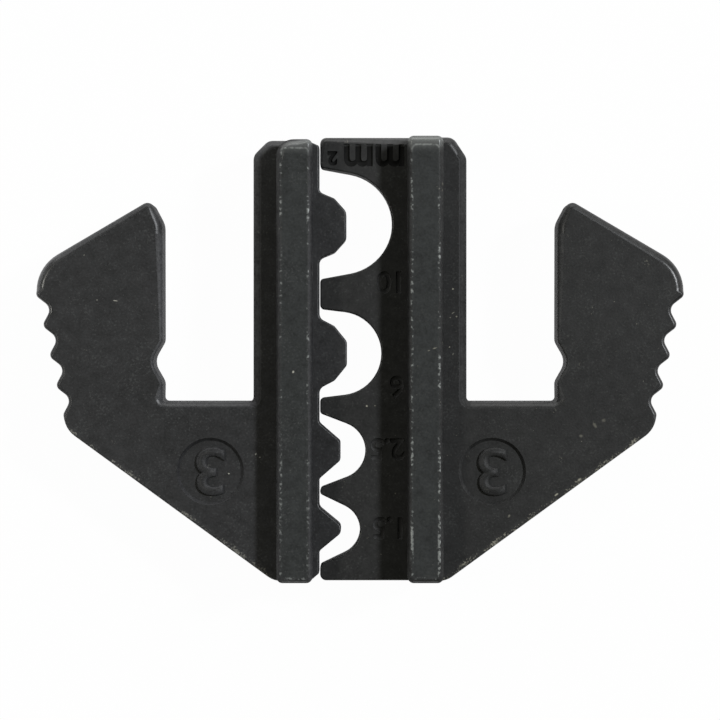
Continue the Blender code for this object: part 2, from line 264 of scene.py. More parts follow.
@dataclass(frozen=True)
class Rib:
    """A rib, and the flat front face that its chamfers leave.

    Attributes:
        top: Its upper end in Y.
        corner: Radius of the front face's corners.
        foot: Its lower end in Y.
        sides: Its long sides, as distances from the parting plane.
        chamfer: Width of the chamfers along the long sides.
        top_chamfer: Width of the chamfer at the upper end.
        foot_chamfer: Width of the chamfer at the lower end.
        span: Height of the front face over the back face.
    """

    top: float
    corner: float
    foot: float = -16.47 * MM
    sides: Pair = (3.5 * MM, 6.15 * MM)
    chamfer: float = 0.28 * MM
    top_chamfer: float = 0.6 * MM
    foot_chamfer: float = 0.3 * MM
    span: float = 12.0 * MM

    def outside(self, point: Point) -> Socket:
        """Adds the nodes that measure how far a point lies outside the front face's outline.

        Args:
            point: The point.

        Returns:
            A socket in metres, negative inside the outline.
        """
        tree = point.tree
        inner, outer = self.sides
        limits = (
            (point.across, inner + self.chamfer, outer - self.chamfer),
            (point.along, self.foot + self.foot_chamfer, self.top - self.top_chamfer),
        )
        reaches = []
        for value, low, high in limits:
            off = add_node(tree, MATH, "SUBTRACT", {0: value, 1: (low + high) / 2})
            size = add_node(tree, MATH, "ABSOLUTE", {0: off})
            reaches.append(add_node(tree, MATH, "SUBTRACT", {0: size, 1: (high - low) / 2 - self.corner}))
        beyond = [add_node(tree, MATH, "MAXIMUM", {0: reach, 1: 0.0}) for reach in reaches]
        corner = add_node(tree, "ShaderNodeCombineXYZ", {}, {"X": beyond[0], "Y": beyond[1]})
        round_part = add_node(tree, VECTOR, "LENGTH", {0: corner}, output="Value")
        widest = add_node(tree, MATH, "MAXIMUM", {0: reaches[0], 1: reaches[1]})
        inner_part = add_node(tree, MATH, "MINIMUM", {0: widest, 1: 0.0})
        total = add_node(tree, MATH, "ADD", {0: round_part, 1: inner_part})
        return add_node(tree, MATH, "SUBTRACT", {0: total, 1: self.corner})


@dataclass(frozen=True)
class Nick:
    """A pale dent or a short scratch in a front face.

    Attributes:
        place: Its middle.
        size: Half its length and half its width.
        turn: Direction of its length, anticlockwise from +X, in degrees.
        share: How pale it is, from 0 to 1.
        fade: Where it begins and is full, in half sizes from its middle, once a noise has been added.
    """

    place: tuple[float, float, float]
    size: Pair
    turn: float = 0.0
    share: float = 1.0
    fade: Pair = (1.25, 0.7)

    def mask(self, point: Point, ragged: Socket) -> Socket:
        """Adds the nodes of its mask.

        Args:
            point: The point.
            ragged: A fine noise, which makes its outline uneven.

        Returns:
            A socket that is one in the nick.
        """
        length, width = self.size
        inside = add_node(
            point.tree, "ShaderNodeMapping", {"vector_type": "TEXTURE"},
            {
                "Vector": point.place, "Location": self.place, "Scale": (length, width, width),
                "Rotation": (0.0, 0.0, math.radians(self.turn)),
            },
        )
        away = add_node(point.tree, VECTOR, "LENGTH", {0: inside}, output="Value")
        away = add_node(point.tree, MATH, "ADD", {0: away, 1: ragged})
        start, full = self.fade
        return add_node(point.tree, RANGE, {}, {0: away, 1: start, 2: full, 4: self.share})


@dataclass(frozen=True)
class Scatter:
    """Small uneven specks that gather in patches.

    Attributes:
        size: Size of a speck.
        patch: Size of the patches.
        rare: How few there are. Each tenth more leaves about a fifth of them.
        gather: How much they keep to their patches.
        soft: How softly they end.
        details: Finer layers in the specks' noise and in the patches' noise.
    """

    size: float
    patch: float
    rare: float
    gather: float = 0.6
    soft: float = 0.05
    details: Pair = (2.0, 1.0)

    def mask(self, point: Point, more: Socket | float = 0.0) -> Socket:
        """Adds the nodes of their mask.

        Args:
            point: The point.
            more: Where there are more of them, against rare.

        Returns:
            A socket that is one in a speck.
        """
        fine, coarse = (
            add_node(point.tree, NOISE, {}, {"Vector": point.moved, "Scale": 1 / size, "Detail": detail})
            for size, detail in zip((self.size, self.patch), self.details)
        )
        total = add_node(point.tree, MATH, "MULTIPLY_ADD", {0: coarse, 1: self.gather, 2: fine})
        total = add_node(point.tree, MATH, "ADD", {0: total, 1: more})
        start = 0.5 + 0.5 * self.gather + self.rare
        return add_node(point.tree, RANGE, {}, {0: total, 1: start, 2: start + self.soft})


@dataclass(frozen=True)
class Dull:
    """A stretch of rounded edges that tumbling did not smooth, the same on both dies.

    Attributes:
        across: Its limits, as distances from the parting plane.
        along: Its limits in Y.
        share: How dull it is, from 0 to 1.
        pale: How much paler its coat is painted on the edges, as painted light.
    """

    across: Pair
    along: Pair
    share: float
    pale: float = 0.0

    def mask(self, point: Point) -> Socket:
        """Adds the nodes of its mask.

        Args:
            point: The point.

        Returns:
            A socket that is one on the stretch's rounded edges.
        """
        mask = point.tilted
        for value, (low, high) in ((point.across, self.across), (point.along, self.along)):
            middle, half = (low + high) / 2, (high - low) / 2
            between = add_node(point.tree, MATH, "COMPARE", {0: value, 1: middle, 2: half})
            mask = add_node(point.tree, MATH, "MULTIPLY", {0: mask, 1: between})
        return mask


# Each stretch's last value, where given, paints its edges paler as painted light.
RAIL_SIDE = Dull((7.2 * MM, 8.2 * MM), (-17.0 * MM, 17.0 * MM), 0.85, 0.6)
SLOT_EDGE = Dull((14.0 * MM, 16.0 * MM), (-3.0 * MM, 9.3 * MM), 0.75, 1.2)
RIB_OUTER_EDGE = Dull((5.75 * MM, 6.4 * MM), (-17.0 * MM, 15.6 * MM), 0.8)
RIB_INNER_EDGE = Dull((3.3 * MM, 3.9 * MM), (-17.0 * MM, 15.6 * MM), 0.7)
RECESS = Dull((8.2 * MM, 13.7 * MM), (-10.95 * MM, -5.75 * MM), 0.6)


@dataclass(frozen=True)
class PaintedFigureShade:
    """Painted shade in the figures struck into the crimp blade, darker the deeper they are.

    Attributes:
        colour: Colour of the painted shade.
        top: Level at which it begins, just under the blade's face.
        deep: Level from which it covers the steel.
        foot: Level at which it ends, under the deepest figure.
        end: How far it reaches in Y.
        side: How far it reaches from the parting plane.
    """

    colour: str = "#121211"
    top: float = 8.04 * MM
    deep: float = 7.94 * MM
    foot: float = 7.8 * MM
    end: float = 15.8 * MM
    side: float = 3.45 * MM

    def mask(self, point: Point) -> Socket:
        """Adds the nodes of its mask.

        Args:
            point: The point.

        Returns:
            A socket that is one where shade is painted.
        """
        tree = point.tree
        # Painted shade: the figures' floors are darkened, the more the deeper they lie.
        mask = add_node(tree, RANGE, {}, {0: point.height, 1: self.top, 2: self.deep})
        mask = add_node(tree, MATH, "MULTIPLY", {0: mask, 1: point.flat})
        for value, operation, limit in (
            (point.height, "GREATER_THAN", self.foot),
            (point.along, "LESS_THAN", self.end),
            (point.across, "LESS_THAN", self.side),
        ):
            inner = add_node(tree, MATH, operation, {0: value, 1: limit})
            mask = add_node(tree, MATH, "MULTIPLY", {0: mask, 1: inner})
        return mask


@dataclass(frozen=True)
class EdgeWear:
    """The broken line of bare steel along the edges of a rib's front face.

    Attributes:
        noises: Spot size and detail of the bare dots and of the more or less rubbed stretches.
        run_share: How much the stretches count against the dots.
        levels: Sums of both at which an unworn edge begins to show steel and is quite bare.
        gain: How much full wear lowers these.
        thin: How bare the line is between its dots.
        width: How far the line reaches to either side.
        inset: How far its middle lies inside the face's outline.
        low_from: Y from which the line gets more rubbed towards the foot.
        low_gain: How much the sum gains at the foot.
        end_reach: How far down from the upper end its stronger wear begins.
        end_full: Share of that reach within which it is full.
        end_levels: Levels of the dots at which steel begins to show there and is quite bare.
        end_thin: How bare the line is between its dots there.
        end_share: How bare the chamfer of the upper end is.
        face_fade: Width over which the front face's own look comes in.
        drops: How far under the front face, or over the back face, all this begins and is full.
    """

    noises: tuple[Pair, ...] = ((0.3 * MM, 3.0), (3.0 * MM, 1.0))
    run_share: float = 0.5
    levels: Pair = (0.87, 1.07)
    gain: float = 0.1
    thin: float = 0.015
    width: float = 0.13 * MM
    inset: float = 0.05 * MM
    low_from: float = -4.0 * MM
    low_gain: float = 0.08
    end_reach: float = 1.3 * MM
    end_full: float = 0.2
    end_levels: Pair = (0.35, 0.65)
    end_thin: float = 0.2
    end_share: float = 0.3
    face_fade: float = 0.1 * MM
    drops: Pair = (0.5 * MM, 0.35 * MM)

    def masks(self, point: Point, rib: Rib, wear: float) -> tuple[Socket, Socket]:
        """Adds the nodes of the front face's mask and of the bare steel's mask.

        Args:
            point: The point.
            rib: The rib.
            wear: How much of its edges is rubbed bare, from 0 to 1.

        Returns:
            A socket that is one on the front face, and one that is one where the steel is bare.
        """
        tree = point.tree
        outside = rib.outside(point)
        off = add_node(tree, MATH, "SUBTRACT", {0: point.height, 1: rib.span / 2})
        reach = add_node(tree, MATH, "ABSOLUTE", {0: off})
        start, full = (rib.span / 2 - drop for drop in self.drops)
        proud = add_node(tree, RANGE, {}, {0: reach, 1: start, 2: full})
        face = add_node(tree, RANGE, {}, {0: outside, 1: 0.0, 2: -self.face_fade})
        face = add_node(tree, MATH, "MULTIPLY", {0: face, 1: proud})
        dots, runs = (
            add_node(tree, NOISE, {}, {"Vector": point.moved, "Scale": 1 / size, "Detail": detail})
            for size, detail in self.noises
        )
        away = add_node(tree, MATH, "ADD", {0: outside, 1: self.inset})
        gap = add_node(tree, MATH, "ABSOLUTE", {0: away})
        line = add_node(tree, RANGE, {}, {0: gap, 1: self.width, 2: 0.0})
        line = add_node(tree, MATH, "MULTIPLY", {0: line, 1: proud})
        total = add_node(tree, MATH, "MULTIPLY_ADD", {0: runs, 1: self.run_share, 2: dots})
        low = add_node(tree, RANGE, {}, {0: point.along, 1: self.low_from, 2: rib.foot, 4: self.low_gain})
        total = add_node(tree, MATH, "ADD", {0: total, 1: low})
        start, full = (level - self.gain * wear for level in self.levels)
        broken = add_node(tree, RANGE, {}, {0: total, 1: start, 2: full, 3: self.thin})
        start, full = (rib.top - share * self.end_reach for share in (1.0, self.end_full))
        end = add_node(tree, RANGE, {}, {0: point.along, 1: start, 2: full})
        start, full = self.end_levels
        near = add_node(tree, RANGE, {}, {0: dots, 1: start, 2: full, 3: self.end_thin})
        near = add_node(tree, MATH, "MULTIPLY", {0: near, 1: end})
        broken = add_node(tree, MATH, "MAXIMUM", {0: broken, 1: near})
        bare = add_node(tree, MATH, "MULTIPLY", {0: line, 1: broken})
        for operation, value in (("POWER", 2.0), ("MULTIPLY", proud), ("MULTIPLY", self.end_share)):
            end = add_node(tree, MATH, operation, {0: end, 1: value})
        return face, add_node(tree, MATH, "MAXIMUM", {0: bare, 1: end})


@dataclass(frozen=True)
class Masks:
    """Sockets that are one where a die looks different from the plain coat.

    Attributes:
        rib_face: The rib's front face.
        bare: Steel that is rubbed bare.
        shaded_figures: The struck figures, where shade is painted.
        matte: What tumbling did not smooth.
        painted_edge_light: How much paler the coat is worn there, which can pass one.
        band: The strip inside the tongue's slanted lower edge.
        polished: The rounded edge of the arm's nose.
    """

    rib_face: Socket
    bare: Socket
    shaded_figures: Socket
    matte: Socket
    painted_edge_light: Socket
    band: Socket
    polished: Socket


@dataclass(frozen=True)
class PhosphatedSteel:
    """Pressed and sintered steel with a black phosphate coat.

    The coat is a crust of dark crystals soaked in oil, so it looks nearly black and matte, with a faint
    cloudy mottle. Where it rubs against the jaw it comes off along the edges and the bare steel shines
    through in a broken line. Small pits from the pressing and pale nicks are scattered over it. Its rounded
    edges are painted paler, as a painted highlight, and its struck figures darker, as painted shade.

    Attributes:
        name: The material's name.
        coat: Colour of the coat.
        steel: Colour of the bare steel.
        speck: Colour of the fine specks, where single crystals have broken off.
        nick: Colour of the pale nicks.
        wear: How much of the ribs' edges is rubbed bare, from 0 to 1.
        seed: Moves the patterns in X, so that the two dies differ.
        dents: The larger pale nicks, each in its own place.
        nose_gloss: Specular level of the arm's nose, which fingers polish.
        band_wear: How pale the rubs along the tongue's lower edge are.
        rib_coat: Colour of the coat on the ribs' front faces, which handling has polished.
        pit: Colour of the pits.
        roughness: Roughness of the coat.
        edge_roughness: Roughness of the rounded edges.
        matte_roughness: Roughness of what tumbling did not smooth.
        polish: Roughness of bare steel and of the nose.
        specular: Specular level of the coat.
        matte_specular: Specular level of what tumbling did not smooth.
        painted_edge_highlight_and_rub: How much paler the rounded edges are painted, as painted highlight.
        lower_edge: Ends of the tongue's slanted lower edge, which slides over the jaw, at +X.
        band_width: Width of the strip inside it.
        band_rub: How much of the edges' paleness that strip has, there as rubbed wear.
        band_more: How much less rare the rubs are in it.
        nose: Distances from the parting plane at which the polish begins and is full.
        nose_foot: Y down to which the nose is polished.
        noises: Spot size and detail of the coat's grain, mottle and clouds.
        tones: How much each of them changes the coat's brightness.
        reliefs: How much grain and mottle count in the coat's bumps.
        bump: Strength and depth of the bumps.
        tilts: Upright part of the normal at which tilted, edge and wall begin and are full.
        specks: The fine specks.
        pits: The pits.
        nicks: The small pale nicks.
        rubs: The rubs along the lower edge.
        dull: The dull stretches of edge.
        figure_shade: The shade painted in the struck figures.
        edge_wear: The wear of the rib's edges.
    """

    name: str
    coat: str
    steel: str
    speck: str
    nick: str
    wear: float
    seed: float
    dents: tuple[Nick, ...]
    nose_gloss: float = 0.35
    band_wear: float = 0.6

    rib_coat: str = "#292b2b"
    pit: str = "#1a1a1a"
    roughness: float = 0.36
    edge_roughness: float = 0.42
    matte_roughness: float = 0.65
    polish: float = 0.30
    specular: float = 0.42
    matte_specular: float = 0.12
    painted_edge_highlight_and_rub: float = 0.8
    lower_edge: tuple[Pair, ...] = ((6.4 * MM, -16.44 * MM), (21.85 * MM, -5.3 * MM))
    band_width: float = 0.55 * MM
    band_rub: float = 0.3
    band_more: float = 0.3
    nose: Pair = (21.6 * MM, 22.8 * MM)
    nose_foot: float = 3.4 * MM
    # The coat's crystals, about 0.01 mm across, are too fine to show, so its grain is drawn coarser.
    noises: tuple[Pair, ...] = ((0.17 * MM, 3.0), (0.8 * MM, 5.0), (9.0 * MM, 2.0))
    tones: tuple[float, ...] = (0.70, 0.60, 0.30)
    reliefs: tuple[float, ...] = (0.5, 0.6)
    bump: Pair = (0.35, 0.012 * MM)
    tilts: tuple[Pair, ...] = ((0.999, 0.985), (0.99, 0.9), (0.35, 0.1))
    specks: Scatter = Scatter(0.16 * MM, 1.6 * MM, 0.09, gather=0.3, soft=0.14)
    pits: Scatter = Scatter(0.16 * MM, 3.5 * MM, 0.26)
    nicks: Scatter = Scatter(0.22 * MM, 2.6 * MM, 0.39)
    rubs: Scatter = Scatter(0.15 * MM, 1.1 * MM, 0.33, gather=0.9, soft=0.2)
    dull: tuple[Dull, ...] = (RAIL_SIDE, SLOT_EDGE, RIB_OUTER_EDGE, RIB_INNER_EDGE, RECESS)
    figure_shade: PaintedFigureShade = PaintedFigureShade()
    edge_wear: EdgeWear = EdgeWear()

    def build(self, rib: Rib) -> bpy.types.Material:
        """Makes the material.

        Args:
            rib: The rib whose edges are rubbed bare.

        Returns:
            The finished material.
        """
        material = bpy.data.materials.new(self.name)
        material.use_nodes = True
        tree = material.node_tree
        tree.nodes.clear()
        point = self._point(tree)
        masks = self._masks(point, rib)
        noises = [
            add_node(tree, NOISE, {}, {"Vector": point.moved, "Scale": 1 / size, "Detail": detail})
            for size, detail in self.noises
        ]
        strength, depth = self.bump
        relief = self._vary(tree, noises, self.reliefs)
        bump = add_node(
            tree, "ShaderNodeBump", {}, {"Strength": strength, "Distance": depth, "Height": relief}
        )
        roughness, gloss = self._sheen(point, masks)
        surface = add_node(
            tree, "ShaderNodeBsdfPrincipled", {},
            {
                "Base Color": self._colour(point, masks, noises), "Metallic": masks.bare,
                "Roughness": roughness, "Specular IOR Level": gloss, "Normal": bump,
            },
        )
        add_node(tree, "ShaderNodeOutputMaterial", {}, {"Surface": surface})
        return material

    def _point(self, tree: Tree) -> Point:
        """Adds the nodes that say where the shaded point lies and how its surface turns.

        Args:
            tree: The material's node tree.

        Returns:
            The point.
        """
        place = add_node(tree, COORDINATES, {}, {}, output="Object")
        moved = add_node(tree, VECTOR, "ADD", {0: place, 1: (self.seed, 0.0, 0.0)})
        side, along, height = (add_node(tree, SPLIT, {}, {0: place}, output=axis) for axis in "XYZ")
        across = add_node(tree, MATH, "ABSOLUTE", {0: side})
        normal = add_node(tree, COORDINATES, {}, {}, output="Normal")
        upright = add_node(tree, SPLIT, {}, {0: normal}, output="Z")
        level = add_node(tree, MATH, "ABSOLUTE", {0: upright})
        tilted, edge, wall = (
            add_node(tree, RANGE, {}, {0: level, 1: start, 2: full}) for start, full in self.tilts
        )
        flat = add_node(tree, MATH, "SUBTRACT", {0: 1.0, 1: wall})
        return Point(tree, place, moved, across, along, height, tilted, edge, wall, flat)

    def _masks(self, point: Point, rib: Rib) -> Masks:
        """Adds the nodes of the masks.

        Args:
            point: The point.
            rib: The rib whose edges are rubbed bare.

        Returns:
            The masks.
        """
        tree = point.tree
        rib_face, bare = self.edge_wear.masks(point, rib, self.wear)
        shaded_figures = self.figure_shade.mask(point)
        matte = add_node(tree, MATH, "MAXIMUM", {0: point.wall, 1: shaded_figures})
        # The dull stretches paint their edges paler here, as painted light.
        painted_edge_light = 0.0
        for stretch in self.dull:
            inside = stretch.mask(point)
            painted_edge_light = add_node(tree, MATH, "MULTIPLY_ADD", {0: inside, 1: stretch.pale, 2: painted_edge_light})
            dull = add_node(tree, MATH, "MULTIPLY", {0: inside, 1: stretch.share})
            matte = add_node(tree, MATH, "MAXIMUM", {0: matte, 1: dull})
        return Masks(rib_face, bare, shaded_figures, matte, painted_edge_light, self._lower_band(point), self._polished(point))

    def _lower_band(self, point: Point) -> Socket:
        """Adds a mask of the strip inside the tongue's slanted lower edge.

        Args:
            point: The point.

        Returns:
            A socket that is one in the outer half of the strip and fades over its inner half.
        """
        foot, heel = (Vector(corner) for corner in self.lower_edge)
        run = (heel - foot).normalized()
        inwards = Vector((-run.y, run.x))
        inside = -inwards.dot(foot)
        for value, share in ((point.across, inwards.x), (point.along, inwards.y)):
            inside = add_node(point.tree, MATH, "MULTIPLY_ADD", {0: value, 1: share, 2: inside})
        band = add_node(point.tree, RANGE, {}, {0: inside, 1: self.band_width, 2: self.band_width / 2})
        return add_node(point.tree, MATH, "MULTIPLY", {0: band, 1: point.flat})

    def _polished(self, point: Point) -> Socket:
        """Adds a mask of the arm's nose, where fingers polish the rounded edge.

        Args:
            point: The point.

        Returns:
            A socket that is one there.
        """
        start, full = self.nose
        mask = add_node(point.tree, RANGE, {}, {0: point.across, 1: start, 2: full})
        above = add_node(point.tree, MATH, "GREATER_THAN", {0: point.along, 1: self.nose_foot})
        for other in (above, point.tilted):
            mask = add_node(point.tree, MATH, "MULTIPLY", {0: mask, 1: other})
        return mask

    def _vary(self, tree: Tree, noises: list[Socket], amounts: tuple[float, ...]) -> Socket:
        """Adds up noises about a middle of one.

        Args:
            tree: The material's node tree.
            noises: The noises.
            amounts: How far each of them moves the result, for as many as count in it.

        Returns:
            A socket that varies about one.
        """
        total = 1.0
        for noise, amount in zip(noises, amounts):
            total = add_node(tree, MATH, "MULTIPLY_ADD", {0: noise, 1: 2 * amount, 2: total})
            total = add_node(tree, MATH, "SUBTRACT", {0: total, 1: amount})
        return total

    def _pale_marks(self, point: Point, masks: Masks, ragged: Socket) -> Socket:
        """Adds a mask of the small nicks, the rubs along the lower edge and the larger dents.

        Args:
            point: The point.
            masks: The masks.
            ragged: A fine noise, which makes the dents uneven.

        Returns:
            A socket that is one in any of them.
        """
        tree = point.tree
        fewer = add_node(tree, MATH, "MULTIPLY", {0: masks.rib_face, 1: -1.0})
        marks = self.nicks.mask(point, fewer)
        more = add_node(tree, MATH, "MULTIPLY", {0: masks.band, 1: self.band_more})
        rubs = add_node(tree, MATH, "MULTIPLY", {0: self.rubs.mask(point, more), 1: self.band_wear})
        for mask in (rubs, *(dent.mask(point, ragged) for dent in self.dents)):
            marks = add_node(tree, MATH, "MAXIMUM", {0: marks, 1: mask})
        return marks

    def _colour(self, point: Point, masks: Masks, noises: list[Socket]) -> Socket:
        """Adds the colour: the coat, painted paler on its edges as painted light, and what lies over it.

        Args:
            point: The point.
            masks: The masks.
            noises: The coat's grain, mottle and clouds.

        Returns:
            The colour's socket.
        """
        tree = point.tree
        coats = {"Factor": masks.rib_face, 6: linear(self.coat), 7: linear(self.rib_coat)}
        colour = add_node(tree, MIX, {"data_type": "RGBA"}, coats, output=2)
        # Painted highlight: the rounded edges are painted paler; the strip inside the lower edge is paler as
        # rubbed wear.
        rubbed = add_node(tree, MATH, "MULTIPLY", {0: masks.band, 1: self.band_rub})
        rubbed = add_node(tree, MATH, "MAXIMUM", {0: point.edge, 1: rubbed})
        paler = add_node(tree, MATH, "ADD", {0: masks.painted_edge_light, 1: 1.0})
        paler = add_node(tree, MATH, "MULTIPLY_ADD", {0: rubbed, 1: self.painted_edge_highlight_and_rub, 2: paler})
        shade = self._vary(tree, noises, self.tones)
        shade = add_node(tree, MATH, "MULTIPLY", {0: shade, 1: paler})
        colour = add_node(tree, VECTOR, "SCALE", {0: colour, "Scale": shade})
        for mask, over in (
            (self.pits.mask(point), self.pit),
            (self.specks.mask(point), self.speck),
            # Painted shade in the struck figures.
            (masks.shaded_figures, self.figure_shade.colour),
            (self._pale_marks(point, masks, noises[0]), self.nick),
            (masks.bare, self.steel),
        ):
            layers = {"Factor": mask, 6: colour, 7: linear(over)}
            colour = add_node(tree, MIX, {"data_type": "RGBA"}, layers, output=2)
        return colour

    def _sheen(self, point: Point, masks: Masks) -> tuple[Socket, Socket]:
        """Adds the roughness and the specular level of the coat and of what lies over it.

        Args:
            point: The point.
            masks: The masks.

        Returns:
            Both sockets.
        """
        tree = point.tree
        roughness = self.roughness
        for mask, value in (
            (point.edge, self.edge_roughness), (masks.matte, self.matte_roughness),
            (masks.polished, self.polish), (masks.bare, self.polish),
        ):
            roughness = add_node(tree, MIX, {"data_type": "FLOAT"}, {"Factor": mask, 2: roughness, 3: value})
        gloss = {0: masks.matte, 3: self.specular, 4: self.matte_specular}
        gloss = {"Factor": masks.polished, 2: add_node(tree, RANGE, {}, gloss), 3: self.nose_gloss}
        return roughness, add_node(tree, MIX, {"data_type": "FLOAT"}, gloss)


@dataclass
class Die:
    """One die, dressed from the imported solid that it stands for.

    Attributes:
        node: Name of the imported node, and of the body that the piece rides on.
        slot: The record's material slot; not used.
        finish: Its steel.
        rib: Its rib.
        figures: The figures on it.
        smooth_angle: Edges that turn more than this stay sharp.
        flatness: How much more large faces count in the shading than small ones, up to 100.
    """

    node: str
    slot: str
    finish: PhosphatedSteel
    rib: Rib
    figures: tuple[Figure, ...]

    smooth_angle: float = math.radians(50.0)
    flatness: int = 100

    def build(self) -> bpy.types.Object:
        """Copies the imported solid, adds the figures and dresses it.

        Returns:
            The finished piece.
        """
        piece = self._copy_solid()
        for figure in self.figures:
            apply_boolean(piece, figure.build(), figure.relief.value)
        select_only(piece)
        bpy.ops.object.shade_smooth_by_angle(angle=self.smooth_angle)
        self._flatten_faces(piece)
        piece.data.materials.clear()
        piece.data.materials.append(self.finish.build(self.rib))
        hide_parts(self.node)
        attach(piece, self.node)
        return piece

    def _flatten_faces(self, piece: bpy.types.Object) -> None:
        """Keeps the shading of the large flat faces flat where they run into rounded edges.

        Args:
            piece: The piece.
        """
        modifier = piece.modifiers.new("flat faces", "WEIGHTED_NORMAL")
        modifier.mode = "FACE_AREA"
        modifier.weight = self.flatness
        modifier.keep_sharp = True
        select_only(piece)
        bpy.ops.object.modifier_apply(modifier=modifier.name)

    def _copy_solid(self) -> bpy.types.Object:
        """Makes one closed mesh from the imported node's loose triangles.

        Returns:
            The piece, without figures or a material of its own.
        """
        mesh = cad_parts[self.node].data.copy()
        piece = bpy.data.objects.new(self.node + "_steel", mesh)
        bpy.context.scene.collection.objects.link(piece)
        select_only(piece)
        bpy.ops.mesh.customdata_custom_splitnormals_clear()
        bpy.ops.object.mode_set(mode="EDIT")
        bpy.ops.mesh.select_all(action="SELECT")
        bpy.ops.mesh.remove_doubles(threshold=SOLID_WELD)
        bpy.ops.mesh.dissolve_limited(angle_limit=SOLID_FLAT)
        bpy.ops.object.mode_set(mode="OBJECT")
        return piece


@dataclass(frozen=True)
class Lamp:
    """A rectangular soft box, aimed at the object.

    Attributes:
        name: The lamp's name.
        azimuth: Its direction round the object, anticlockwise from +X, in degrees.
        elevation: Its height above the floor, in degrees.
        size: Width and height of the box.
        share: Light that it gives a level white card, where one would be white.
        colour: Its colour.
        distance: From the object.
    """

    name: str
    azimuth: float
    elevation: float
    size: Pair
    share: float
    colour: str
    distance: float = 0.6

    def build(self) -> None:
        """Makes the lamp, bright enough to give its share."""
        data = bpy.data.lights.new(self.name, "AREA")
        data.shape = "RECTANGLE"
        data.size, data.size_y = self.size
        data.color = linear(self.colour)[:3]
        data.energy = self.share * math.pi**2 * self.distance**2 / math.sin(math.radians(self.elevation))
        lamp = bpy.data.objects.new(self.name, data)
        bpy.context.scene.collection.objects.link(lamp)
        turn, rise = math.radians(self.azimuth), math.radians(self.elevation)
        towards = Vector((math.cos(turn) * math.cos(rise), math.sin(turn) * math.cos(rise), math.sin(rise)))
        lamp.location = towards * self.distance
        lamp.rotation_euler = (-towards).to_track_quat("-Z", "Y").to_euler()


# The key lamp stands high on the right. Its shadows fall to the left and a little down, with soft ends.
KEY_LAMP = Lamp("key", 22.0, 58.0, (120 * MM, 120 * MM), 0.53, "#f8fbff", distance=1.2)
# A box high on the left fills the shadows and lights the edges that face it.
LEFT_BOX = Lamp("left box", 178.0, 60.0, (80 * MM, 80 * MM), 0.14, "#fffdf5")
# A long box beyond the top of the picture lights the rounded edges that face it.
TOP_BOX = Lamp("top box", 92.0, 24.0, (700 * MM, 400 * MM), 0.23, "#ffffff")
# Low strips on the left and right light the steep parts of the rounded edges.
LEFT_STRIP = Lamp("left strip", 178.0, 12.0, (600 * MM, 160 * MM), 0.022, "#ffffff")
RIGHT_STRIP = Lamp("right strip", 2.0, 12.0, (600 * MM, 160 * MM), 0.022, "#ffffff")


